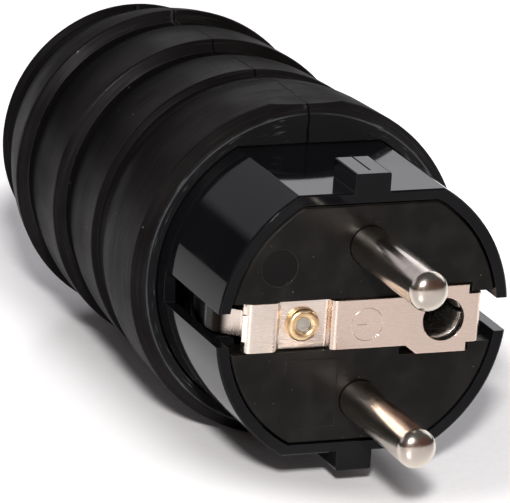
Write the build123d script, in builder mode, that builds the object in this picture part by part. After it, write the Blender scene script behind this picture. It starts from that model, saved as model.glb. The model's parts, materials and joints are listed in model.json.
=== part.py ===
from build123d import *
import math
import os

# Rubber mains plug with two round pins, two side earth clips and a socket for an earth pin, in mm.
# The origin is the middle of the engagement face, the pins point along -Y and the cord inlet along +Y.
# The pins stand one above the other along Z, and the earth strip crosses the face along X.

# Pins
pin_d = 4.8
pin_length = 19.0
pin_pitch = 19.0
pin_tip = 1.5
pin_gap = 0.12
pin_neck = 0.6
pin_foot = 0.05
pin_recess = 0.35

# Front shell
shell_r = 18.47
shell_flat = 16.0
shell_wall = 1.42
flat_wall = 1.25
shell_length = 28.0
key_width = 4.45
key_rise = 2.3
key_length = 6.8
key_edge = 0.25
key_groove = 0.2
key_groove_depth = 0.15
key_groove_start = 1.3
slot_width = 4.1
slot_length = 17.4
flange_rise = 0.8
flange_length = 3.0
ledge_room = 0.92
ledge_t = 2.5
lug_r = 3.2
rim_edge = 0.2

# Rubber sleeve
sleeve_face = 19.9
sleeve_gap = 0.15
nose_r = 19.8
nose_length = 1.5
collar_r = 21.25
collar_flat = 20.75
collar_length = 8.1
collar_drop = 0.4
collar_groove_r = 19.5
ring_start = 38.1
ring_pitch = 13.9
ring_r = 20.2
ring_run = 5.6
ring_drop = 0.3
ring_groove_r = 18.75
last_run = 0.6
last_drop = 0.1
tail_groove_r = 16.6
groove_floor = 1.7
groove_wall = 0.6
crest_round = 0.35
tail_r = 17.3
tail_length = 11.2
end_r = 10.9
end_round = 1.5
cavity_r = 15.2
cavity_straight = 12.0
throat_r = 10.0
throat_gap = 1.8
inlet_r = 4.75
inlet_length = 11.0

# Contact carrier
plate_gap = 0.25
plate_t = 4.0
plate_edge = 0.2
fit_gap = 0.15
seat_gap = 0.05
wall_t = 1.3
mark_r = 2.3
mark_depth = 0.12
mark_x = -11.1
mark_z = 7.3
post_x = 8.6
post_r = 2.5

# Pin terminals
terminal_w = 7.6
terminal_h = 6.8
terminal_length = 11.0
terminal_edge = 0.4
wire_hole_r = 1.6
wire_hole_depth = 7.5
terminal_screw_y = 6.5
terminal_screw_reach = 3.0
terminal_head_r = 2.5
terminal_head_h = 1.4

# Earth strip
strip_t = 0.6
strip_half = 3.0
strip_proud = 0.5
bend_r = 0.6
tab_inset = 2.15
tab_depth = 3.0
pocket_depth = 0.9
pocket_right = -4.4
pocket_left = -10.3
hump_right = -11.3
hump_inset = 1.85
hump_tuck = 0.8
pocket_lean = 0.2
fold_depth = 1.2
neck_half = 1.6
neck_depth = 2.5
clip_reach = 0.05
clip_bow = 0.3
clip_room = 0.93
clip_front = 2.2
clip_mid = 6.6
clip_length = 14.5
clip_round = 1.8
wing_left = 6.75
wing_right = 13.07
wing_half = 4.1
wing_slope = 1.4
wing_flange = 2.0
wing_room = 0.6
earth_x = 10.0
earth_hole_r = 2.65

# Earth socket sleeve
socket_r = 2.42
socket_t = 0.3
socket_sink = 1.0
socket_lip = 0.4
socket_mouth = 1.3
socket_length = 12.2
socket_slit = 0.55
socket_slits = 3
socket_slit_turn = 10.0
socket_stop_r = 2.6
socket_stop = 1.2
socket_ring = 2.5

# Rivet and earth terminal
rivet_x = -7.46
rivet_r = 2.0
rivet_rise = 0.85
rivet_eye_r = 0.85
rivet_eye_depth = 0.5
rivet_shank_r = 1.4
rivet_tail_r = 2.2
rivet_tail_h = 0.8
washer_r = 2.9
washer_t = 0.5
bracket_t = 1.0
bracket_half = 3.3
bracket_left = -11.5
bracket_right = -4.2
bracket_rise = 10.5
earth_screw_y = 7.0
earth_screw_end = 1.5

# Screws and nuts
screw_r = 1.75
screw_head_r = 2.5
screw_head_h = 2.0
small_screw_r = 1.3
thread_gap = 0.06
hole_gap = 0.2
drive_width = 0.8
drive_depth = 0.7
nut_width = 5.5
nut_t = 2.4
carrier_screw_inset = 3.05
carrier_screw_turn = 45.0
carrier_screw_bite = 2.6
anchor_screw_bite = 7.0
tip_room = 0.5

# Cord anchor and saddle
anchor_room = 1.3
anchor_t = 2.2
anchor_gap = 0.7
wire_way_r = 2.2
cord_r = 4.5
bed_t = 2.5
bed_half = 11.2
bed_neck_half = 5.0
bed_neck = 5.6
bed_length = 10.0
boss_r = 2.8
saddle_screw_z = 8.4
saddle_t = 4.6
saddle_width = 7.0
saddle_lift = 1.7
saddle_edge = 0.6
saddle_screw_end = 0.5

# Places worked out from the sizes above
pin_r = pin_d / 2
pin_z = pin_pitch / 2
bore_r = shell_r - shell_wall
bore_flat = shell_flat - flat_wall
key_top = shell_flat + key_rise
plate_r = bore_r - plate_gap
plate_flat = bore_flat - plate_gap
ledge_y = plate_t + seat_gap
ledge_back = ledge_y + ledge_t
collar_y = sleeve_face + nose_length
tail_y = ring_start + 3 * ring_pitch
sleeve_end = tail_y + tail_length
cavity_y = shell_length + sleeve_gap
inlet_y = sleeve_end - inlet_length
strip_back = strip_t - strip_proud
pocket_back = pocket_depth + strip_t
channel_half = strip_half + fit_gap
chamber_half = terminal_w / 2 + fit_gap
chamber_in = pin_z - terminal_h / 2 - fit_gap
chamber_out = pin_z + terminal_h / 2
ledge_r = math.hypot(chamber_half + wall_t, chamber_out) + ledge_room
tab_x = bore_r - tab_inset
hump_left = hump_inset - bore_r
clip_x = bore_r + clip_reach
notch_x = -hump_left - hump_tuck - strip_t - fit_gap
carrier_screw_x = -(bore_r - carrier_screw_inset) * math.cos(math.radians(carrier_screw_turn))
carrier_screw_z = (bore_r - carrier_screw_inset) * math.sin(math.radians(carrier_screw_turn))
socket_outer_r = socket_r + socket_lip + socket_t
socket_front = strip_back + seat_gap + socket_sink
socket_throat = socket_front + socket_mouth
socket_back = socket_front + socket_length
socket_ring_y = socket_back - socket_ring
earth_bore_r = socket_outer_r + fit_gap
earth_boss_r = earth_bore_r + wall_t
clip_end_x = earth_x + earth_boss_r + clip_room
earth_boss_end = socket_back + seat_gap + socket_stop
terminal_end = plate_t + terminal_length
post_end = max(terminal_end, earth_boss_end) + anchor_gap
anchor_back = post_end + anchor_t
washer_y = plate_t + bracket_t
tail_head_y = washer_y + washer_t
bed_y = anchor_back + bed_neck
saddle_y = bed_y + bed_length / 2
pilot_r = small_screw_r + thread_gap
bed_back = cord_r + bed_t
boss_x = seat_gap - saddle_lift
saddle_back = -saddle_lift - saddle_t
past = 1.0
CENTRE = [(0, 0)]

# How far a Bezier curve's handles reach to follow a quarter of an ellipse
ROUND_PULL = 0.5523


def level(y):
    """The plane across the axis at y, seen from the front: X to the right, Z up."""
    return Plane.XZ.offset(-y)


def rear(x, y, z):
    """The plane across the axis through a point, seen from behind."""
    return Plane(origin=(x, y, z), x_dir=(1, 0, 0), z_dir=(0, 1, 0))


def lengthwise(x, z):
    """The upright plane through the line along Y at x and z: local x runs back, local y runs up."""
    return Plane(origin=(x, 0, z), x_dir=(0, 1, 0), z_dir=(1, 0, 0))


def beside():
    """The level plane through the axis: local x runs back, local y runs to the earth socket's side."""
    return Plane(origin=(0, 0, 0), x_dir=(0, 1, 0), z_dir=(0, 0, -1))


def along(x, z):
    """The line along Y at x and z."""
    return Axis((x, 0, z), (0, 1, 0))


def flatted_disc(radius, flat):
    """A disc cut off level at the top and the bottom, as the start of the current sketch."""
    Circle(radius)
    Rectangle(2 * radius, 2 * flat, mode=Mode.INTERSECT)


def block(xs, ys, zs, mode=Mode.ADD):
    """A box between two places on each axis, in the current part."""
    with Locations((sum(xs) / 2, sum(ys) / 2, sum(zs) / 2)):
        Box(xs[1] - xs[0], ys[1] - ys[0], zs[1] - zs[0], mode=mode)


def rods(plane, spots, radius, length, mode=Mode.ADD):
    """Round bars that start on the plane and run against its normal, in the current part."""
    with BuildSketch(plane) as section:
        with Locations(*spots):
            Circle(radius)
    extrude(section.sketch, amount=-length, mode=mode)


def slotted_screw(seat, head_r, head_h, shank_r, shank_length):
    """A cheese-head screw: its head stands on the seat plane and its shank runs against the normal."""
    rods(seat.offset(head_h), CENTRE, head_r, head_h)
    with BuildSketch(seat.offset(head_h)) as drive:
        Rectangle(2 * head_r + past, drive_width)
    extrude(drive.sketch, amount=-drive_depth, mode=Mode.SUBTRACT)
    rods(seat, CENTRE, shank_r, shank_length)


def edge_at(turned, y, radius):
    """The round edge of a turned part at y and a radius."""
    return turned.edges().filter_by(GeomType.CIRCLE).sort_by_distance((radius, y, 0))[0]


def save(part, name):
    """Labels a finished piece and writes its file."""
    part.label = name
    export_step(part, f"parts/{name}.step")


os.makedirs("parts", exist_ok=True)

# Rubber sleeve: saw-tooth grip rings turned about the axis, hollow behind the shell
ring_ys = [ring_start + i * ring_pitch for i in range(4)]
ring_rs = [ring_r, ring_r, ring_r, tail_r]
collar = (collar_y, collar_r, collar_length, collar_drop, collar_groove_r)
middle_rings = [(y, ring_r, ring_run, ring_drop, ring_groove_r) for y in ring_ys[:2]]
last_ring = (ring_ys[2], ring_r, last_run, last_drop, tail_groove_r)

with BuildPart() as rubber_sleeve:
    with BuildSketch(beside()):
        with BuildLine():
            Polyline((sleeve_face, 0), (sleeve_face, nose_r), (collar_y, collar_r))
            for (y, r, run, drop, groove_r), next_y, next_r in zip(
                [collar, *middle_rings, last_ring], ring_ys, ring_rs
            ):
                shoulder = (y + run, r - drop)
                foot = (next_y - groove_wall - groove_floor, groove_r)
                Line((y, r), shoulder)
                TangentArc(shoulder, foot, tangent=(run, -drop))
                Polyline(foot, (next_y - groove_wall, groove_r), (next_y, next_r))
            Polyline((tail_y, tail_r), (sleeve_end, end_r), (sleeve_end, 0), (sleeve_face, 0))
        make_face()
    revolve(axis=Axis.Y)
    crests = [(collar_y, collar_r), *zip(ring_ys, ring_rs)]
    fillet([edge_at(rubber_sleeve, y, r) for y, r in crests], crest_round)
    fillet(edge_at(rubber_sleeve, sleeve_end, end_r), end_round)
    block((-collar_r, collar_r), (sleeve_face, sleeve_end), (-collar_flat, collar_flat), Mode.INTERSECT)
    with BuildSketch(level(sleeve_face)):
        flatted_disc(shell_r + sleeve_gap, shell_flat + sleeve_gap)
    extrude(amount=-(cavity_y - sleeve_face), mode=Mode.SUBTRACT)
    with BuildSketch(level(shell_length - flange_length - sleeve_gap)):
        flatted_disc(shell_r + flange_rise + sleeve_gap, shell_flat + flange_rise + sleeve_gap)
    extrude(amount=-(flange_length + 2 * sleeve_gap), mode=Mode.SUBTRACT)
    with BuildSketch(beside()):
        with BuildLine():
            Polyline(
                (cavity_y, 0),
                (cavity_y, cavity_r),
                (cavity_y + cavity_straight, cavity_r),
                (inlet_y - throat_gap, throat_r),
                (inlet_y, inlet_r),
                (sleeve_end, inlet_r),
                (sleeve_end, 0),
                (cavity_y, 0),
            )
        make_face()
    revolve(axis=Axis.Y, mode=Mode.SUBTRACT)
save(rubber_sleeve.part, "rubber_sleeve")

# Front shell: a flatted tube with a key on each flat, a slot on each side and a flange held by the rubber
carrier_screw_spots = [(carrier_screw_x, carrier_screw_z), (carrier_screw_x, -carrier_screw_z)]

with BuildPart() as front_shell:
    with BuildSketch(level(0)):
        flatted_disc(shell_r, shell_flat)
    extrude(amount=-shell_length)
    chamfer(front_shell.faces().sort_by(Axis.Y)[0].edges(), rim_edge)
    with BuildSketch(level(shell_length - flange_length)):
        flatted_disc(shell_r + flange_rise, shell_flat + flange_rise)
    extrude(amount=-flange_length)
    with BuildSketch(level(0)):
        RectangleRounded(key_width, 2 * key_top, key_edge)
    extrude(amount=-key_length)
    with BuildSketch(level(0)):
        flatted_disc(bore_r, bore_flat)
    extrude(amount=-shell_length, mode=Mode.SUBTRACT)
    with BuildSketch(level(ledge_y)):
        flatted_disc(bore_r + shell_wall / 2, bore_flat + flat_wall / 2)
        Circle(ledge_r, mode=Mode.SUBTRACT)
        with Locations(*carrier_screw_spots):
            Circle(lug_r)
    extrude(amount=-ledge_t)
    rods(level(0), carrier_screw_spots, small_screw_r + hole_gap, ledge_back, Mode.SUBTRACT)
    with BuildSketch(level(0)):
        Rectangle(2 * (shell_r + past), slot_width)
    extrude(amount=-slot_length, mode=Mode.SUBTRACT)
    for side in (1, -1):
        groove_zs = sorted((side * (key_top - key_groove_depth), side * (key_top + past)))
        groove_xs = (-key_groove / 2, key_groove / 2)
        block(groove_xs, (key_groove_start, key_length + past), groove_zs, Mode.SUBTRACT)
save(front_shell.part, "front_shell")

# Contact carrier: the face plate with the strip's bed, and the terminal walls behind it
post_spots = [(post_x, post_x), (post_x, -post_x)]
bed_zs = (-channel_half, channel_half)
wing_zs = (-wing_half - fit_gap, wing_half + fit_gap)
wing_xs = (wing_left - wing_slope - wing_room, wing_right + wing_room)
pocket_xs = (-shell_r, pocket_right + pocket_lean + strip_t + bend_r)
through_ys = (-past, plate_t + past)

with BuildPart() as contact_carrier:
    with BuildSketch(level(0)):
        flatted_disc(plate_r, plate_flat)
    extrude(amount=-plate_t)
    chamfer(contact_carrier.faces().sort_by(Axis.Y)[0].edges(), plate_edge)
    for side in (1, -1):
        with BuildSketch(level(plate_t)):
            with Locations((0, side * (chamber_in - wall_t + chamber_out) / 2)):
                Rectangle(2 * (chamber_half + wall_t), chamber_out - chamber_in + wall_t)
            with Locations((0, side * (chamber_in + chamber_out + past) / 2)):
                Rectangle(2 * chamber_half, chamber_out - chamber_in + past, mode=Mode.SUBTRACT)
        extrude(amount=-terminal_length)
    rods(level(plate_t), [(earth_x, 0)], earth_boss_r, earth_boss_end - plate_t)
    rods(level(plate_t), post_spots, post_r, post_end - plate_t)
    block((-shell_r, shell_r), (-past, strip_back + seat_gap), bed_zs, Mode.SUBTRACT)
    block(pocket_xs, (-past, pocket_back + seat_gap), bed_zs, Mode.SUBTRACT)
    block(wing_xs, (-past, wing_flange - strip_proud + fit_gap), wing_zs, Mode.SUBTRACT)
    block((-shell_r, -notch_x), through_ys, bed_zs, Mode.SUBTRACT)
    block((notch_x, shell_r), through_ys, bed_zs, Mode.SUBTRACT)
    rods(level(0), [(0, pin_z), (0, -pin_z)], pin_r + pin_gap, pin_recess, Mode.SUBTRACT)
    rods(level(0), [(0, pin_z), (0, -pin_z)], pin_r - pin_neck + pin_gap, plate_t, Mode.SUBTRACT)
    rods(level(0), [(rivet_x, 0)], rivet_shank_r + fit_gap, plate_t, Mode.SUBTRACT)
    rods(level(0), [(earth_x, 0)], earth_bore_r, socket_back + seat_gap, Mode.SUBTRACT)
    rods(level(0), [(earth_x, 0)], socket_stop_r, earth_boss_end, Mode.SUBTRACT)
    rods(level(0), [(mark_x, mark_z)], mark_r, mark_depth, Mode.SUBTRACT)
    for x, z in carrier_screw_spots:
        rods(rear(x, plate_t, z), CENTRE, pilot_r, carrier_screw_bite + tip_room, Mode.SUBTRACT)
    for x, z in post_spots:
        rods(rear(x, post_end, z), CENTRE, pilot_r, anchor_screw_bite + tip_room, Mode.SUBTRACT)
save(contact_carrier.part, "contact_carrier")

with BuildPart() as carrier_screws:
    for x, z in carrier_screw_spots:
        bite = ledge_t + seat_gap + carrier_screw_bite
        slotted_screw(rear(x, ledge_back, z), screw_head_r, screw_head_h, small_screw_r, bite)
save(carrier_screws.part, "carrier_screws")

# Pins: each a round pin with a rounded tip, and a square terminal behind the plate
for name, side in (("line_pin", 1), ("neutral_pin", -1)):
    with BuildPart() as pin:
        with BuildSketch(lengthwise(0, side * pin_z)):
            with BuildLine():
                Polyline(
                    (-pin_length, 0),
                    (plate_t, 0),
                    (plate_t, pin_r - pin_neck),
                    (-pin_foot, pin_r - pin_neck),
                    (-pin_foot, pin_r),
                    (pin_tip - pin_length, pin_r),
                )
                Bezier(
                    (pin_tip - pin_length, pin_r),
                    (pin_tip * (1 - ROUND_PULL) - pin_length, pin_r),
                    (-pin_length, pin_r * ROUND_PULL),
                    (-pin_length, 0),
                )
            make_face()
        revolve(axis=along(0, side * pin_z))
        with BuildSketch(level(plate_t)):
            with Locations((0, side * pin_z)):
                RectangleRounded(terminal_w, terminal_h, terminal_edge)
        extrude(amount=-terminal_length)
        rods(rear(0, terminal_end, side * pin_z), CENTRE, wire_hole_r, wire_hole_depth, Mode.SUBTRACT)
        screw_mouth = Plane(origin=(0, plate_t + terminal_screw_y, side * chamber_out), z_dir=(0, 0, side))
        rods(screw_mouth, CENTRE, screw_r + thread_gap, terminal_h / 2, Mode.SUBTRACT)
    save(pin.part, name)

with BuildPart() as pin_terminal_screws:
    for side in (1, -1):
        seat = Plane(origin=(0, plate_t + terminal_screw_y, side * chamber_out), z_dir=(0, 0, side))
        slotted_screw(seat, terminal_head_r, terminal_head_h, screw_r, terminal_screw_reach)
save(pin_terminal_screws.part, "pin_terminal_screws")

# Earth strip: a strip bent along its middle line, with a wing round the earth hole and a clip at each end
mid = strip_t / 2
plate_line = mid - strip_proud
fold_x = hump_left + mid + hump_tuck * (fold_depth - mid) / (neck_depth - mid)
face_line = [
    (tab_x - mid, fold_depth),
    (tab_x - mid, plate_line),
    (pocket_right + mid + pocket_lean, plate_line),
    (pocket_right + mid, pocket_depth + mid),
    (pocket_left - mid, pocket_depth + mid),
    (hump_right + mid, mid),
    (hump_left + mid, mid),
    (fold_x, fold_depth),
]
left_clip = [(hump_left + mid, mid), (hump_left + mid + hump_tuck, neck_depth)]
right_clip = [(tab_x - mid, plate_line + bend_r), (tab_x - mid, tab_depth)]
for clip, side in ((left_clip, -1), (right_clip, 1)):
    clip.append((side * (clip_x - clip_bow), clip[1][1] + clip_front))
    clip.append((side * clip_x, clip_mid))
    clip.append((side * clip_end_x, clip_length))

with BuildPart() as earth_strip:
    with BuildSketch(Plane.XY):
        with BuildLine():
            FilletPolyline(face_line, radius=bend_r)
        trace(line_width=strip_t)
    extrude(amount=strip_half, both=True)
    for clip in (left_clip, right_clip):
        with BuildSketch(Plane.XY):
            with BuildLine():
                FilletPolyline(clip, radius=[bend_r, 2 * bend_r, clip_round])
            trace(line_width=strip_t)
        extrude(amount=neck_half, both=True)
    with BuildSketch(level(-strip_proud)):
        with BuildLine():
            Polyline(
                (wing_left - wing_slope, 0),
                (wing_left - wing_slope, strip_half),
                (wing_left, wing_half),
                (wing_right, wing_half),
                (wing_right, 0),
                (wing_left - wing_slope, 0),
            )
        make_face()
        mirror(about=Plane.XZ)
    extrude(amount=-strip_t)
    for flange_zs in ((wing_half - strip_t, wing_half), (-wing_half, strip_t - wing_half)):
        block((wing_left, wing_right), (-strip_proud, wing_flange - strip_proud), flange_zs)
    rods(level(-strip_proud), [(earth_x, 0)], earth_hole_r, strip_t, Mode.SUBTRACT)
    rods(level(pocket_depth), [(rivet_x, 0)], rivet_shank_r + fit_gap, strip_t, Mode.SUBTRACT)
save(earth_strip.part, "earth_strip")

# Earth socket sleeve: a turned spring sleeve with a flared lip and a thick rear ring, slit from the front
with BuildPart() as earth_socket_sleeve:
    with BuildSketch(lengthwise(earth_x, 0)):
        with BuildLine():
            throat = (socket_throat, socket_r)
            throat_back = (socket_throat, socket_r + socket_t)
            lip = (socket_front, socket_r + socket_lip)
            lip_back = (socket_front, socket_outer_r)
            TangentArc(throat, lip, tangent=(-1, 0))
            Line(lip, lip_back)
            TangentArc(throat_back, lip_back, tangent=(-1, 0))
            Polyline(
                throat_back,
                (socket_ring_y, socket_r + socket_t),
                (socket_ring_y, socket_outer_r),
                (socket_back, socket_outer_r),
                (socket_back, socket_r),
                throat,
            )
        make_face()
    revolve(axis=along(earth_x, 0))
    with BuildSketch(level(0)):
        with Locations((earth_x, 0)):
            with PolarLocations(socket_outer_r, socket_slits, start_angle=socket_slit_turn):
                Rectangle(2 * socket_outer_r, socket_slit)
    extrude(amount=-socket_ring_y, mode=Mode.SUBTRACT)
save(earth_socket_sleeve.part, "earth_socket_sleeve")

# Earth rivet with its washer, and the bracket that it holds behind the plate
with BuildPart() as earth_rivet:
    with BuildSketch(lengthwise(rivet_x, 0)):
        with BuildLine():
            eye = (pocket_depth - rivet_rise + rivet_eye_depth, rivet_eye_r)
            crest = (pocket_depth - rivet_rise, (rivet_eye_r + rivet_r) / 2)
            Polyline((eye[0], 0), eye)
            ThreePointArc(eye, crest, (pocket_depth, rivet_r))
            Polyline(
                (pocket_depth, rivet_r),
                (pocket_depth, rivet_shank_r),
                (tail_head_y, rivet_shank_r),
                (tail_head_y, rivet_tail_r),
                (tail_head_y + rivet_tail_h, rivet_tail_r),
                (tail_head_y + rivet_tail_h, 0),
                (eye[0], 0),
            )
        make_face()
    revolve(axis=along(rivet_x, 0))
save(earth_rivet.part, "earth_rivet")

with BuildPart() as rivet_washer:
    with BuildSketch(level(washer_y)):
        with Locations((rivet_x, 0)):
            Circle(washer_r)
            Circle(rivet_shank_r + fit_gap, mode=Mode.SUBTRACT)
    extrude(amount=-washer_t)
save(rivet_washer.part, "rivet_washer")

bracket_wall = bracket_left + bracket_t
earth_seat = Plane(origin=(bracket_left, plate_t + earth_screw_y, 0), z_dir=(-1, 0, 0))

with BuildPart() as earth_terminal:
    with BuildSketch(Plane.XY):
        with BuildLine():
            Polyline(
                (bracket_left, plate_t),
                (bracket_right, plate_t),
                (bracket_right, washer_y),
                (bracket_wall, washer_y),
                (bracket_wall, plate_t + bracket_rise),
                (bracket_left, plate_t + bracket_rise),
                (bracket_left, plate_t),
            )
        make_face()
    extrude(amount=bracket_half, both=True)
    rods(level(plate_t), [(rivet_x, 0)], rivet_shank_r + fit_gap, bracket_t, Mode.SUBTRACT)
    rods(earth_seat, CENTRE, screw_r + hole_gap, bracket_t, Mode.SUBTRACT)
save(earth_terminal.part, "earth_terminal")

with BuildPart() as earth_terminal_screw:
    slotted_screw(earth_seat, screw_head_r, screw_head_h, screw_r, bracket_t + nut_t + earth_screw_end)
save(earth_terminal_screw.part, "earth_terminal_screw")

with BuildPart() as earth_terminal_nut:
    with BuildSketch(earth_seat.offset(-bracket_t)):
        Rectangle(nut_width, nut_width)
        Circle(screw_r + thread_gap, mode=Mode.SUBTRACT)
    extrude(amount=-nut_t)
save(earth_terminal_nut.part, "earth_terminal_nut")

# Cord anchor: the rear plate of the insert, with the bed that the cord is clamped on
saddle_spots = [(saddle_y, saddle_screw_z), (saddle_y, -saddle_screw_z)]
bed_xs = (cord_r, bed_back)
bed_end = bed_y + bed_length

with BuildPart() as cord_anchor:
    with BuildSketch(level(post_end)):
        flatted_disc(bore_r - anchor_room, bore_flat - anchor_room)
    extrude(amount=-anchor_t)
    rods(level(post_end), [(0, pin_z), (0, -pin_z), (rivet_x, 0)], wire_way_r, anchor_t, Mode.SUBTRACT)
    rods(level(post_end), post_spots, small_screw_r + hole_gap, anchor_t, Mode.SUBTRACT)
    block(bed_xs, (anchor_back, bed_y), (-bed_neck_half, bed_neck_half))
    block(bed_xs, (bed_y, bed_end), (-bed_half, bed_half))
    rods(Plane.YZ.offset(cord_r), saddle_spots, boss_r, cord_r - boss_x)
    rods(Plane.YZ.offset(bed_back), saddle_spots, screw_r + hole_gap, bed_back - boss_x, Mode.SUBTRACT)
save(cord_anchor.part, "cord_anchor")

with BuildPart() as anchor_screws:
    for x, z in post_spots:
        bite = anchor_t + anchor_screw_bite
        slotted_screw(rear(x, anchor_back, z), screw_head_r, screw_head_h, small_screw_r, bite)
save(anchor_screws.part, "anchor_screws")

with BuildPart() as cord_saddle:
    with BuildSketch(level(saddle_y - saddle_width / 2)):
        with Locations((saddle_back + saddle_t / 2, 0)):
            RectangleRounded(saddle_t, 2 * bed_half, saddle_edge)
        Circle(cord_r, mode=Mode.SUBTRACT)
    extrude(amount=-saddle_width)
    rods(Plane.YZ.offset(-saddle_lift), saddle_spots, screw_r + hole_gap, saddle_t, Mode.SUBTRACT)
save(cord_saddle.part, "cord_saddle")

with BuildPart() as saddle_screws:
    for y, z in saddle_spots:
        seat = Plane(origin=(saddle_back, y, z), z_dir=(-1, 0, 0))
        reach = bed_back - saddle_back + nut_t + saddle_screw_end
        slotted_screw(seat, screw_head_r, screw_head_h, screw_r, reach)
save(saddle_screws.part, "saddle_screws")

with BuildPart() as saddle_nuts:
    with BuildSketch(Plane.YZ.offset(bed_back)):
        with Locations(*saddle_spots):
            Rectangle(nut_width, nut_width)
            Circle(screw_r + thread_gap, mode=Mode.SUBTRACT)
    extrude(amount=nut_t)
save(saddle_nuts.part, "saddle_nuts")
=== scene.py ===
import bpy
import json
import math
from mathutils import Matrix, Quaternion, Vector


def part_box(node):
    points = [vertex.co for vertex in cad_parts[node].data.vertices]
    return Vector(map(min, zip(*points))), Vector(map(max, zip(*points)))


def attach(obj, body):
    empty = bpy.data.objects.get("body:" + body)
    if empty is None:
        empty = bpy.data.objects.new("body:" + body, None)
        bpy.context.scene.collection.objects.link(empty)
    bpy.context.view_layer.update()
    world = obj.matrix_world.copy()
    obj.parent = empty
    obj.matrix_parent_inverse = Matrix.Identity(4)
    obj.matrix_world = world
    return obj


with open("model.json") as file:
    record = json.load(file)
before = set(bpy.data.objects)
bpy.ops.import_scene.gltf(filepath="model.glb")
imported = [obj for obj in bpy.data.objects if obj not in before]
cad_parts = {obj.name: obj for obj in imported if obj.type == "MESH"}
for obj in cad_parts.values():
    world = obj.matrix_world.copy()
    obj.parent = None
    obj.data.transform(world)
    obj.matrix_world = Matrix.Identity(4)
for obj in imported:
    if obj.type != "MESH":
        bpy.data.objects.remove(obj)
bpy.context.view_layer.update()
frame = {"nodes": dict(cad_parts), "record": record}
nodes = frame["nodes"]

# Sizes of the plug in metres, in the frame of the CAD model
MM = 0.001
STRIP_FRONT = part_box("earth_strip")[0].y
PLATE_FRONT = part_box("contact_carrier")[0].y
SLEEVE_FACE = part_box("rubber_sleeve")[0].y
SLEEVE_RIM_R = 19.75 * MM
COLLAR_Y, RING_START, RING_PITCH = 21.4 * MM, 38.1 * MM, 13.9 * MM
RIVET_X = sum(corner.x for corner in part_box("earth_rivet")) / 2
RIVET_EYE_R = 0.95 * MM
EJECTOR_X, EJECTOR_Z, EJECTOR_R = -11.1 * MM, 7.3 * MM, 2.3 * MM

# Camera, as the photograph was taken: a long lens from the front, above and to the left
CAMERA_PLACE = (-0.25171, -0.56930, 0.20136)
CAMERA_TURN = (0.794464, 0.577158, -0.135681, -0.131551)
PICTURE_WIDTH = 510
FOCAL_PIXELS = 5577.5
SENSOR_WIDTH = 36.0
NEAREST, FARTHEST = 0.01, 20.0


def socket_in(tree, node, name, value):
    """Sets a node's input to a plain value, or links it to another node's output."""
    if isinstance(value, bpy.types.NodeSocket):
        tree.links.new(value, node.inputs[name])
    else:
        node.inputs[name].default_value = value


def put(tree, kind, inputs=None, **settings):
    """Adds a node to a tree with its settings and inputs."""
    node = tree.nodes.new(kind)
    for name, value in settings.items():
        setattr(node, name, value)
    for name, value in (inputs or {}).items():
        socket_in(tree, node, name, value)
    return node


def ramp(tree, value, low, high, to_low=0.0, to_high=1.0):
    """A value that runs smoothly from one number to another while the input goes from low to high."""
    inputs = {"Value": value, "From Min": low, "From Max": high, "To Min": to_low, "To Max": to_high}
    return put(tree, "ShaderNodeMapRange", inputs, interpolation_type="SMOOTHSTEP").outputs["Result"]


def mixed(tree, share, first, second):
    """A colour between two, by a share."""
    node = put(tree, "ShaderNodeMix", data_type="RGBA")
    for name, value in (("Factor", share), ("A", first), ("B", second)):
        fitting = [s for s in node.inputs if s.name == name and s.enabled][0]
        if isinstance(value, bpy.types.NodeSocket):
            tree.links.new(value, fitting)
        else:
            fitting.default_value = (*value, 1.0) if name != "Factor" else value
    return [s for s in node.outputs if s.enabled][0]


def maths(tree, operation, first, second=0.0):
    """One operation on one or two values."""
    node = put(tree, "ShaderNodeMath", {0: first, 1: second}, operation=operation)
    return node.outputs["Value"]


def product(tree, first, *others):
    """Several values multiplied together."""
    for other in others:
        first = maths(tree, "MULTIPLY", first, other)
    return first


def distance(tree, first, second):
    """How far a point is from an origin, by its two coordinates."""
    squares = [maths(tree, "POWER", value, 2.0) for value in (first, second)]
    return maths(tree, "SQRT", maths(tree, "ADD", *squares))


def cloud(tree, spot, scale, detail):
    """Soft noise round one half; the scale is per unit of the spot."""
    inputs = {"Vector": spot, "Scale": scale, "Detail": detail}
    return put(tree, "ShaderNodeTexNoise", inputs).outputs["Fac"]


def place(tree):
    """Where a surface point is in the frame, as one vector and as x, y and z."""
    spot = put(tree, "ShaderNodeTexCoord").outputs["Object"]
    parts = put(tree, "ShaderNodeSeparateXYZ", {"Vector": spot}).outputs
    return spot, parts["X"], parts["Y"], parts["Z"]


def group(name, inputs, outputs):
    """An empty shader group with named number inputs, and outputs of the given kinds."""
    tree = bpy.data.node_groups.new(name, "ShaderNodeTree")
    for label, value in inputs.items():
        made = tree.interface.new_socket(label, in_out="INPUT", socket_type="NodeSocketFloat")
        made.default_value = value
    for label, kind in outputs.items():
        tree.interface.new_socket(label, in_out="OUTPUT", socket_type=kind)
    start = tree.nodes.new("NodeGroupInput").outputs
    end = tree.nodes.new("NodeGroupOutput")
    return tree, start, end.inputs


def moulded_grain():
    """Fine grain over slow waviness, as height; the scales are per metre."""
    inputs = {"Grain Scale": 9000.0, "Wave Scale": 160.0, "Wave": 0.5}
    tree, start, end = group("moulded_grain", inputs, {"Height": "NodeSocketFloat"})
    spot = place(tree)[0]
    grain = cloud(tree, spot, start["Grain Scale"], detail=4.0)
    wave = cloud(tree, spot, start["Wave Scale"], detail=2.0)
    tree.links.new(maths(tree, "ADD", grain, product(tree, wave, start["Wave"])), end["Height"])
    return tree


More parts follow.
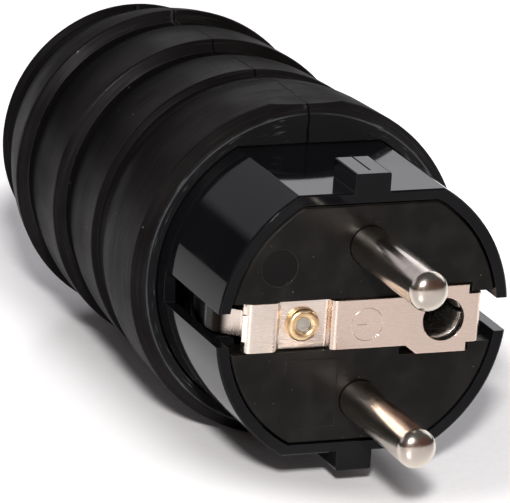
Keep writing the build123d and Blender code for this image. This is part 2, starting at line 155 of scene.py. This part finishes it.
def dust():
    """Sparse pale specks and soft smudges; a cell whose chance is over Sparse bears a speck."""
    inputs = {"Speck Scale": 700.0, "Speck Size": 0.11, "Sparse": 0.9, "Smudge Scale": 90.0}
    outputs = {"Specks": "NodeSocketFloat", "Smudge": "NodeSocketFloat"}
    full_speck, smudge_band = 0.98, (0.4, 0.68)
    tree, start, end = group("dust", inputs, outputs)
    spot = place(tree)[0]
    cells = put(tree, "ShaderNodeTexVoronoi", {"Vector": spot, "Scale": start["Speck Scale"]}).outputs
    chance = put(tree, "ShaderNodeSeparateColor", {"Color": cells["Color"]}).outputs["Red"]
    to_middle = {"Value": cells["Distance"], "From Min": start["Speck Size"], "From Max": 0.0}
    near = put(tree, "ShaderNodeMapRange", to_middle).outputs["Result"]
    chosen = ramp(tree, chance, start["Sparse"], full_speck)
    tree.links.new(product(tree, chosen, near), end["Specks"])
    smudge = cloud(tree, spot, start["Smudge Scale"], detail=5.0)
    tree.links.new(ramp(tree, smudge, *smudge_band), end["Smudge"])
    return tree


def fine_lines():
    """Drawn or turned marks that run along one axis of the metal, as a value round one half."""
    inputs = {"Across X": 900.0, "Across Y": 60.0, "Across Z": 9000.0}
    tree, start, end = group("fine_lines", inputs, {"Lines": "NodeSocketFloat"})
    across = {way: start["Across " + way] for way in "XYZ"}
    scale = put(tree, "ShaderNodeCombineXYZ", across).outputs["Vector"]
    stretched = put(tree, "ShaderNodeVectorMath", {0: place(tree)[0], 1: scale}, operation="MULTIPLY")
    tree.links.new(cloud(tree, stretched.outputs["Vector"], 1.0, detail=3.0), end["Lines"])
    return tree


def soft_edges():
    """Slightly rounded edges, as a normal, and a mask of the edges, where they are worn and where a painted
    highlight goes.
    """
    outputs = {"Normal": "NodeSocketVector", "Wear And Highlight": "NodeSocketFloat"}
    least_bend = 0.01
    tree, start, end = group("soft_edges", {"Radius": 0.15 * MM, "Breadth": 0.2}, outputs)
    rounded = put(tree, "ShaderNodeBevel", {"Radius": start["Radius"]}, samples=6).outputs["Normal"]
    flat = put(tree, "ShaderNodeNewGeometry").outputs["Normal"]
    along = put(tree, "ShaderNodeVectorMath", {0: rounded, 1: flat}, operation="DOT_PRODUCT")
    bend = maths(tree, "SUBTRACT", 1.0, along.outputs["Value"])
    tree.links.new(rounded, end["Normal"])
    tree.links.new(ramp(tree, bend, least_bend, start["Breadth"]), end["Wear And Highlight"])
    return tree


GRAIN = moulded_grain()
DUST = dust()
LINES = fine_lines()
EDGES = soft_edges()

# Values that all moulded finishes share
SPECK_PALE = (0.22, 0.22, 0.22)
MOULDED_EDGE_R = 0.08 * MM
MOULDED_BUMP = 0.6
SHEEN_ROUGHNESS = 0.3

# Values that all metal finishes share
METAL_EDGE_R = 0.1 * MM
METAL_EDGE_SHARE, METAL_EDGE_GAIN = 0.7, 1.25
METAL_BUMP = 0.5
METAL_LINE_BAND = (0.3, 0.7)
STAIN_SCALE = 220.0


def finish_material(name):
    """A new material, with its tree and its shader."""
    material = bpy.data.materials.new(name)
    material.use_nodes = True
    tree = material.node_tree
    return material, tree, tree.nodes["Principled BSDF"]


def effect(tree, made, **values):
    """Places one of the shared effects in a material with its own values."""
    node = put(tree, "ShaderNodeGroup", node_tree=made)
    for name, value in values.items():
        node.inputs[name.replace("_", " ")].default_value = value
    return node.outputs


def bumped(tree, shader, height, strength, depth, normal):
    """Turns a height into the shader's normal, over rounded edges; depth is in metres."""
    inputs = {"Strength": strength, "Distance": depth, "Height": height, "Normal": normal}
    tree.links.new(put(tree, "ShaderNodeBump", inputs).outputs["Normal"], shader.inputs["Normal"])


def moulded(name, dark, light, edge, rough, grain, wave, specular, smudge, specks, extra=None):
    """A dark moulded material with grain, smudges, paler edges that are part wear and part painted
    highlight, and a few dust specks.

    The grain is given by its scale and depth, and the specks by their scale and how sparse they are.
    """
    material, tree, shader = finish_material(name)
    dusty = effect(tree, DUST, Smudge_Scale=smudge, Speck_Scale=specks[0], Sparse=specks[1])
    edges = effect(tree, EDGES, Radius=MOULDED_EDGE_R)
    grained = effect(tree, GRAIN, Grain_Scale=grain[0], Wave=wave)
    colour = mixed(tree, dusty["Smudge"], dark, light)
    # Paler edges: wear, and a painted highlight.
    colour = mixed(tree, edges["Wear And Highlight"], colour, edge)
    height, sheen = grained["Height"], None
    if extra:
        colour, height, sheen = extra(tree, colour, height)
    tree.links.new(mixed(tree, dusty["Specks"], colour, SPECK_PALE), shader.inputs["Base Color"])
    tree.links.new(ramp(tree, dusty["Smudge"], 0.0, 1.0, *rough), shader.inputs["Roughness"])
    shader.inputs["Specular IOR Level"].default_value = specular
    if sheen is not None:
        tree.links.new(sheen, shader.inputs["Coat Weight"])
        shader.inputs["Coat Roughness"].default_value = SHEEN_ROUGHNESS
    bumped(tree, shader, height, MOULDED_BUMP, grain[1], edges["Normal"])
    return material


def plated(name, dull, bright, rough, across, depth, extra=None):
    """A plated or bare metal with fine lines and soft stains; across is how close the lines are by axis."""
    material, tree, shader = finish_material(name)
    lines = effect(tree, LINES, Across_X=across[0], Across_Y=across[1], Across_Z=across[2])["Lines"]
    stains = effect(tree, DUST, Smudge_Scale=STAIN_SCALE)["Smudge"]
    edges = effect(tree, EDGES, Radius=METAL_EDGE_R)
    paler_edge = [min(1.0, METAL_EDGE_GAIN * part) for part in bright]
    colour = mixed(tree, stains, bright, dull)
    colour = mixed(tree, product(tree, edges["Wear And Highlight"], METAL_EDGE_SHARE), colour, paler_edge)
    if extra:
        colour = extra(tree, colour)
    tree.links.new(colour, shader.inputs["Base Color"])
    tree.links.new(ramp(tree, lines, *METAL_LINE_BAND, *rough), shader.inputs["Roughness"])
    shader.inputs["Metallic"].default_value = 1.0
    bumped(tree, shader, lines, METAL_BUMP, depth, edges["Normal"])
    return material


# Rubber along its rings and collar: shares of the pitch, and factors that paint light and shade into the
# colour there: painted light at the crests and the collar's front, painted shade down to the grooves and
# the collar's back
RING_FALL, RING_WALL = (0.0, 0.6), (0.86, 0.93)
CREST_PALE, GROOVE_PALE, WALL_LIFT = 1.5, 0.5, 0.35
COLLAR_SPAN, COLLAR_PALE = (COLLAR_Y, RING_START - 2.0 * MM), (1.15, 0.75)
FIRST_RING_Y = RING_START - 1.2 * MM

# Rubber at its parting line and on its front face: a pair goes from the least effect to the full one
SEAM_OFF, SEAM_WAVER = (0.2 * MM, 0.07 * MM), 0.5 * MM
FLECK_OFF, FLECK_BAND = (0.7 * MM, 0.2 * MM), (0.56, 0.64)
UPPER_Z = (0.0, 2.0 * MM)
FACE_Y = (SLEEVE_FACE + 0.3 * MM, SLEEVE_FACE + 0.1 * MM)
SCUFFS_PER_METRE, SCUFFS_PER_RADIAN = 4200.0, 7.0
STREAK_BAND, PATCH_BAND = (0.56, 0.72), (0.44, 0.58)
# The pale line along the face's rim is a painted highlight, broken into patches
RIM_OFF = (0.14 * MM, 0.04 * MM)
RIM_BAND, RIM_SHARE = (0.3, 0.6), (0.15, 0.8)

# Rubber: the share and the colour of each mark, in the order in which one lies over another; the rim's pale
# line is a painted highlight
RUBBER_WEAR_AND_HIGHLIGHT = {
    "face": (0.85, (0.0082, 0.0088, 0.0098)),
    "rim": (1.0, (0.065, 0.068, 0.072)),
    "flecks": (0.5, (0.05, 0.05, 0.05)),
    "seam": (0.9, (0.0008, 0.0008, 0.0008)),
    "scuffs": (0.65, (0.1, 0.104, 0.108)),
}

# Rubber: its fine lines and seam as colour and as height, and how its sheen grows with height and upwards,
# as a painted sheen that is weaker underneath and stronger on the top
LINE_BAND, LINE_SHARE, LINE_PALE = (0.55, 0.75), 0.7, (0.0145, 0.0125, 0.013)
LINE_HEIGHT, SEAM_DEPTH = 2.0, 2.5
SHEEN_HEIGHT, SHEEN = (2.0, 3.0), (0.06, 0.15)
SHEEN_Z, SHEEN_UPWARD = (-8.0 * MM, 16.0 * MM), (0.6, 1.25)


def ring_painted_shading(tree, y):
    """How pale the rubber is painted along each ring: painted light at the crest, painted shade down to the
    groove behind it; the collar likewise.
    """
    pitches = maths(tree, "DIVIDE", maths(tree, "SUBTRACT", y, RING_START), RING_PITCH)
    on_ring = maths(tree, "FRACT", pitches)
    fall = ramp(tree, on_ring, *RING_FALL, CREST_PALE, GROOVE_PALE)
    rings = maths(tree, "ADD", fall, product(tree, ramp(tree, on_ring, *RING_WALL), WALL_LIFT))
    collar = ramp(tree, y, *COLLAR_SPAN, *COLLAR_PALE)
    behind = maths(tree, "GREATER_THAN", y, FIRST_RING_Y)
    ahead = maths(tree, "SUBTRACT", 1.0, behind)
    return maths(tree, "ADD", product(tree, collar, ahead), product(tree, rings, behind))


def parting_line(tree, spot, x, z):
    """Masks of the mould's parting line over the top of the rubber, and of the flecks beside it."""
    waver = cloud(tree, spot, scale=700.0, detail=3.0)
    off_line = maths(tree, "ABSOLUTE", maths(tree, "ADD", x, product(tree, waver, SEAM_WAVER)))
    upper = ramp(tree, z, *UPPER_Z)
    flecks = ramp(tree, cloud(tree, spot, scale=380.0, detail=2.0), *FLECK_BAND)
    return {
        "seam": product(tree, ramp(tree, off_line, *SEAM_OFF), upper),
        "flecks": product(tree, ramp(tree, off_line, *FLECK_OFF), flecks, upper),
    }


def face_wear_and_highlight(tree, spot, x, y, z):
    """Masks of the sleeve's front face, of the scuffs round it and of a painted highlight along its rim."""
    radius = distance(tree, x, z)
    around = maths(tree, "ARCTAN2", z, x)
    on_face = ramp(tree, y, *FACE_Y)
    stroke = {"X": product(tree, radius, SCUFFS_PER_METRE), "Y": product(tree, around, SCUFFS_PER_RADIAN)}
    along = put(tree, "ShaderNodeCombineXYZ", stroke).outputs["Vector"]
    streaks = ramp(tree, cloud(tree, along, scale=1.0, detail=5.0), *STREAK_BAND)
    patches = cloud(tree, spot, scale=130.0, detail=2.0)
    off_rim = maths(tree, "ABSOLUTE", maths(tree, "SUBTRACT", radius, SLEEVE_RIM_R))
    paler_edge = ramp(tree, patches, *RIM_BAND, *RIM_SHARE)
    return {
        "face": on_face,
        "scuffs": product(tree, streaks, ramp(tree, patches, *PATCH_BAND), on_face),
        "rim": product(tree, ramp(tree, off_rim, *RIM_OFF), on_face, paler_edge),
    }


def used_rubber(tree, colour, height):
    """Fine lines round the rubber, painted light and shade by ring, the parting line, a scuffed front face
    with a painted highlight along its rim, and a sheen that is painted stronger on top.
    """
    spot, x, y, z = place(tree)
    lines = effect(tree, LINES, Across_X=120.0, Across_Y=5200.0, Across_Z=120.0)["Lines"]
    painted_shading = ring_painted_shading(tree, y)
    masks = parting_line(tree, spot, x, z) | face_wear_and_highlight(tree, spot, x, y, z)
    colour = mixed(tree, ramp(tree, lines, *LINE_BAND, 0.0, LINE_SHARE), colour, LINE_PALE)
    # Painted light and shade by ring scale the rubber's colour here.
    paled = put(tree, "ShaderNodeVectorMath", {0: colour, "Scale": painted_shading}, operation="SCALE")
    colour = paled.outputs["Vector"]
    # The rim's layer is a painted highlight.
    for layer, (share, tone) in RUBBER_WEAR_AND_HIGHLIGHT.items():
        colour = mixed(tree, product(tree, masks[layer], share), colour, tone)
    height = maths(tree, "ADD", height, product(tree, lines, LINE_HEIGHT))
    height = maths(tree, "SUBTRACT", height, product(tree, masks["seam"], SEAM_DEPTH))
    sheen = ramp(tree, height, *SHEEN_HEIGHT, *SHEEN)
    # The sheen is painted: weaker underneath, stronger on the top, and following the rings' painted light
    # and shade.
    return colour, height, product(tree, sheen, painted_shading, ramp(tree, z, *SHEEN_Z, *SHEEN_UPWARD))


# Strip: where its colour changes, from no effect to the full one, and the colours there; the clips in the
# slots carry painted shade, the hole a painted highlight
FOLD_X, FOLD_SHARE = (-5.0 * MM, -3.6 * MM), 0.85
CLIP_X, CLIP_Y = (15.5 * MM, 16.5 * MM), (1.0 * MM, 2.4 * MM)
HOLE_LEFT, HOLE_RIGHT, HOLE_Y = (6.6 * MM, 7.0 * MM), (13.4 * MM, 13.0 * MM), (0.1 * MM, 0.4 * MM)
STRIP_DULL, CLIP_PAINTED_SHADE, HOLE_PAINTED_HIGHLIGHT = (0.8, 0.64, 0.55), (0.01, 0.008, 0.007), (0.94, 0.9, 0.85)


def used_strip(tree, colour):
    """The strip is duller past its fold, its clips carry painted shade in the slots, and its hole carries a
    painted highlight.
    """
    x, y = place(tree)[1:3]
    colour = mixed(tree, ramp(tree, x, *FOLD_X, 0.0, FOLD_SHARE), colour, STRIP_DULL)
    in_slot = product(tree, ramp(tree, maths(tree, "ABSOLUTE", x), *CLIP_X), ramp(tree, y, *CLIP_Y))
    # Painted shade on the clips inside the slots.
    colour = mixed(tree, in_slot, colour, CLIP_PAINTED_SHADE)
    in_hole = product(tree, ramp(tree, x, *HOLE_LEFT), ramp(tree, y, *HOLE_Y), ramp(tree, x, *HOLE_RIGHT))
    # Painted highlight in the hole.
    return mixed(tree, in_hole, colour, HOLE_PAINTED_HIGHLIGHT)


# Plate and rivet: the edges and colours of the ejector's mark and of the rivet's dimple, whose pale colour
# is a painted reflection
EJECTOR_EDGE, EYE_EDGE = (EJECTOR_R, 0.94 * EJECTOR_R), (1.1 * RIVET_EYE_R, 0.9 * RIVET_EYE_R)
EJECTOR_DARK, EJECTOR_SHARE = (0.0022, 0.002, 0.0019), 0.75
EYE_PAINTED_REFLECTION = (0.52, 0.49, 0.44)


def ejector_mark(tree, colour, height):
    """The round mark of the mould's ejector is darker than the plate."""
    x, z = place(tree)[1::2]
    radius = distance(tree, maths(tree, "SUBTRACT", x, EJECTOR_X), maths(tree, "SUBTRACT", z, EJECTOR_Z))
    inside = ramp(tree, radius, *EJECTOR_EDGE, 0.0, EJECTOR_SHARE)
    return mixed(tree, inside, colour, EJECTOR_DARK), height, None


def painted_eye_reflection(tree, colour):
    """A painted reflection in the rivet's dimple, pale silver inside a ring of brass."""
    x, z = place(tree)[1::2]
    radius = distance(tree, maths(tree, "SUBTRACT", x, RIVET_X), z)
    return mixed(tree, ramp(tree, radius, *EYE_EDGE), colour, EYE_PAINTED_REFLECTION)


# Finishes by slot; scales and closeness of lines are per metre
MATERIALS = {
    "black_rubber": moulded(
        "matte_rubber",
        dark=(0.0046, 0.0038, 0.004),
        light=(0.0072, 0.0062, 0.0065),
        edge=(0.06, 0.06, 0.062),
        rough=(0.5, 0.6),
        grain=(6000.0, 0.04 * MM),
        wave=2.0,
        specular=0.02,
        smudge=110.0,
        specks=(700.0, 0.86),
        extra=used_rubber,
    ),
    "gloss_shell": moulded(
        "gloss_black",
        dark=(0.0042, 0.0042, 0.005),
        light=(0.0056, 0.0056, 0.0066),
        edge=(0.03, 0.03, 0.032),
        rough=(0.05, 0.09),
        grain=(3000.0, 0.0008 * MM),
        wave=4.0,
        specular=0.115,
        smudge=90.0,
        specks=(600.0, 0.88),
    ),
    "carrier_plastic": moulded(
        "plate_plastic",
        dark=(0.0043, 0.0039, 0.0036),
        light=(0.0089, 0.0081, 0.0075),
        edge=(0.05, 0.049, 0.046),
        rough=(0.3, 0.44),
        grain=(9000.0, 0.02 * MM),
        wave=1.0,
        specular=0.15,
        smudge=260.0,
        specks=(1300.0, 0.8),
        extra=ejector_mark,
    ),
    "nickel_pin": plated(
        "satin_nickel",
        dull=(0.55, 0.49, 0.43),
        bright=(0.66, 0.6, 0.53),
        rough=(0.17, 0.23),
        across=(500.0, 5000.0, 500.0),
        depth=0.0003 * MM,
    ),
    "nickel_strip": plated(
        "strip_nickel",
        dull=(0.88, 0.77, 0.69),
        bright=(0.94, 0.83, 0.74),
        rough=(0.22, 0.3),
        across=(300.0, 6000.0, 6000.0),
        depth=0.0005 * MM,
        extra=used_strip,
    ),
    "rivet_brass": plated(
        "polished_brass",
        dull=(0.72, 0.49, 0.26),
        bright=(0.85, 0.63, 0.38),
        rough=(0.26, 0.38),
        across=(2000.0, 2000.0, 2000.0),
        depth=0.001 * MM,
        extra=painted_eye_reflection,
    ),
    "terminal_brass": plated(
        "drawn_brass",
        dull=(0.66, 0.46, 0.2),
        bright=(0.78, 0.58, 0.3),
        rough=(0.25, 0.4),
        across=(400.0, 6000.0, 6000.0),
        depth=0.003 * MM,
    ),
    "zinc_steel": plated(
        "zinc_plate",
        dull=(0.5, 0.51, 0.53),
        bright=(0.64, 0.65, 0.67),
        rough=(0.25, 0.4),
        across=(3000.0, 3000.0, 3000.0),
        depth=0.003 * MM,
    ),
}


def dress_nodes():
    """Gives each CAD node the finish of its slot in the record."""
    for piece in frame["record"]["subparts"]:
        mesh = nodes[piece["node"]].data
        mesh.materials.clear()
        mesh.materials.append(MATERIALS[piece["material_slot"]])


# Raised marks on the strip and on the plate; a bar of the sign is its step along x and half its height
SIGN_X, SIGN_Z, SIGN_R, SIGN_LINE = 0.26 * MM, -0.09 * MM, 2.0 * MM, 0.1 * MM
SIGN_SIDES = 48
LEAD_LEFT, LEAD_RIGHT = -1.4 * MM, -0.1 * MM
SIGN_BARS = ((-0.1 * MM, 1.15 * MM), (0.4 * MM, 0.75 * MM), (0.9 * MM, 0.35 * MM))
PANEL_LEFT, PANEL_RIGHT, PANEL_LOW, PANEL_HIGH = -9.6 * MM, -2.9 * MM, -12.6 * MM, -4.2 * MM
PANEL_LINE = 0.12 * MM


def raised_lines(name, runs, front, thickness, slot):
    """Thin raised lines on a face that looks along -Y; a run is its (x, z) points and whether it closes."""
    curve = bpy.data.curves.new(name, "CURVE")
    curve.dimensions = "3D"
    curve.bevel_depth = thickness / 2
    curve.bevel_resolution = 2
    curve.use_fill_caps = True
    for points, closes in runs:
        spline = curve.splines.new("POLY")
        spline.points.add(len(points) - 1)
        for point, (x, z) in zip(spline.points, points):
            point.co = (x, front, z, 1.0)
        spline.use_cyclic_u = closes
    curve.materials.append(MATERIALS[slot])
    piece = bpy.data.objects.new(name, curve)
    bpy.context.scene.collection.objects.link(piece)
    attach(piece, "root")


def mark_earth():
    """The plain earth sign pressed on the strip, with its lead from the left."""
    turns = [2 * math.pi * i / SIGN_SIDES for i in range(SIGN_SIDES)]
    circle = [(SIGN_X + SIGN_R * math.cos(t), SIGN_Z + SIGN_R * math.sin(t)) for t in turns]
    lead = [(SIGN_X + LEAD_LEFT, SIGN_Z), (SIGN_X + LEAD_RIGHT, SIGN_Z)]
    runs = [(circle, True), (lead, False)]
    for step, half in SIGN_BARS:
        runs.append(([(SIGN_X + step, SIGN_Z - half), (SIGN_X + step, SIGN_Z + half)], False))
    raised_lines("earth_sign", runs, STRIP_FRONT, SIGN_LINE, "nickel_strip")


def mark_plate():
    """A bare panel that is framed by a fine moulded line."""
    lower = [(PANEL_LEFT, PANEL_LOW), (PANEL_RIGHT, PANEL_LOW)]
    upper = [(PANEL_RIGHT, PANEL_HIGH), (PANEL_LEFT, PANEL_HIGH)]
    raised_lines("bare_panel", [(lower + upper, True)], PLATE_FRONT, PANEL_LINE, "carrier_plastic")


# Floor: it glows away from a line that lies under the plug, and not in front of the plug
FLOOR_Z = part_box("rubber_sleeve")[0].z
FLOOR_REACH = 0.9
PAPER_DARK, PAPER_LIGHT = (0.93, 0.92, 0.92), (0.96, 0.96, 0.97)
PAPER_BAND, PAPER_ROUGHNESS = (0.5, 1.0), 0.3
SHADE_X, SHADE_START, SHADE_END = 12.0 * MM, 20.0 * MM, 95.0 * MM
GLOW_AWAY, GLOW = (22.0 * MM, 36.0 * MM), 0.5
GLOW_Y = (-35.0 * MM, -8.0 * MM)


def white_sheet():
    """Pale paper that takes the plug's shadow, and glows a little beside it for camera and gloss."""
    material, tree, shader = finish_material("white_sheet")
    paper = effect(tree, GRAIN, Grain_Scale=900.0)["Height"]
    pale = mixed(tree, ramp(tree, paper, *PAPER_BAND), PAPER_DARK, PAPER_LIGHT)
    tree.links.new(pale, shader.inputs["Base Color"])
    shader.inputs["Roughness"].default_value = PAPER_ROUGHNESS
    shader.inputs["Emission Color"].default_value = (1.0, 1.0, 1.0, 1.0)
    x, y = place(tree)[1:3]
    beside = maths(tree, "SUBTRACT", x, SHADE_X)
    before = maths(tree, "MAXIMUM", maths(tree, "SUBTRACT", SHADE_START, y), 0.0)
    beyond = maths(tree, "MAXIMUM", maths(tree, "SUBTRACT", y, SHADE_END), before)
    glow = ramp(tree, distance(tree, beside, beyond), *GLOW_AWAY, 0.0, GLOW)
    rays = put(tree, "ShaderNodeLightPath").outputs
    seen = maths(tree, "MAXIMUM", rays["Is Camera Ray"], rays["Is Glossy Ray"])
    seen = maths(tree, "MAXIMUM", seen, rays["Is Transmission Ray"])
    strength = product(tree, seen, glow, ramp(tree, y, *GLOW_Y))
    tree.links.new(strength, shader.inputs["Emission Strength"])
    return material


def lay_floor():
    """A wide sheet under the plug."""
    mesh = bpy.data.meshes.new("floor")
    r = FLOOR_REACH
    mesh.from_pydata([(-r, -r, 0), (r, -r, 0), (r, r, 0), (-r, r, 0)], [], [(0, 1, 2, 3)])
    floor = bpy.data.objects.new("floor", mesh)
    floor.location.z = FLOOR_Z
    mesh.materials.append(white_sheet())
    bpy.context.scene.collection.objects.link(floor)


# Room: colours, and where they change, as parts of the direction of view along y and z
ROOM_LOW, ROOM_HIGH = (0.03, 0.026, 0.026), (0.09, 0.088, 0.09)
ROOM_FRONT, ROOM_WALL = (0.115, 0.058, 0.042), (0.64, 0.615, 0.66)
HORIZON_Z, WALL_TOP_Z, WALL_Y = (0.23, 0.3), (0.75, 0.5), (-0.1, 0.3)
FRONT_TOP_Z, FRONT_Y = (0.75, 0.4), (-0.2, -0.6)


def set_world():
    """A dim room, warm in front, with a pale wall behind that stands above a dark horizon."""
    world = bpy.data.worlds.new("studio")
    bpy.context.scene.world = world
    world.use_nodes = True
    tree = world.node_tree
    looking = put(tree, "ShaderNodeTexCoord").outputs["Generated"]
    ways = put(tree, "ShaderNodeSeparateXYZ", {"Vector": looking}).outputs
    over_horizon = ramp(tree, ways["Z"], *HORIZON_Z)
    wall = product(tree, over_horizon, ramp(tree, ways["Z"], *WALL_TOP_Z), ramp(tree, ways["Y"], *WALL_Y))
    front = product(tree, ramp(tree, ways["Y"], *FRONT_Y), ramp(tree, ways["Z"], *FRONT_TOP_Z))
    room = mixed(tree, over_horizon, ROOM_LOW, ROOM_HIGH)
    room = mixed(tree, front, room, ROOM_FRONT)
    room = mixed(tree, wall, room, ROOM_WALL)
    tree.links.new(room, tree.nodes["Background"].inputs["Color"])


# Lamps: where they stand, their sides, watts and colour, and the point that they look at
LAMPS = {
    "main_lamp": ((-0.234, -0.53, 0.335), (0.06, 0.06), 5.5, (1.0, 0.975, 0.96)),
    "right_panel": ((0.8, 0.42, 0.52), (1.0, 0.8), 2.2, (0.97, 0.98, 1.0)),
    "back_panel": ((0.33, 0.79, 0.33), (0.5, 0.2), 0.36, (0.98, 0.97, 1.0)),
}
LAMP_AIM = Vector((0.0, 0.02, 0.0))


def set_lamps():
    """A main lamp above the camera, a broad pale panel at the right and a smaller one behind."""
    for name, (stand, sides, watts, colour) in LAMPS.items():
        light = bpy.data.lights.new(name, "AREA")
        light.shape = "RECTANGLE"
        light.size, light.size_y = sides
        light.energy = watts
        light.color = colour
        lamp = bpy.data.objects.new(name, light)
        lamp.location = stand
        lamp.rotation_mode = "QUATERNION"
        lamp.rotation_quaternion = (LAMP_AIM - Vector(stand)).to_track_quat("-Z", "Y")
        bpy.context.scene.collection.objects.link(lamp)


def set_camera():
    """The camera of the photograph."""
    lens = bpy.data.cameras.new("camera")
    lens.sensor_width = SENSOR_WIDTH
    lens.lens = FOCAL_PIXELS / PICTURE_WIDTH * SENSOR_WIDTH
    lens.clip_start, lens.clip_end = NEAREST, FARTHEST
    camera = bpy.data.objects.new("camera", lens)
    camera.location = CAMERA_PLACE
    camera.rotation_mode = "QUATERNION"
    camera.rotation_quaternion = Quaternion(CAMERA_TURN)
    bpy.context.scene.collection.objects.link(camera)
    bpy.context.scene.camera = camera


dress_nodes()
mark_earth()
mark_plate()
lay_floor()
set_world()
set_lamps()
set_camera()
bpy.context.scene.view_settings.view_transform = "Standard"
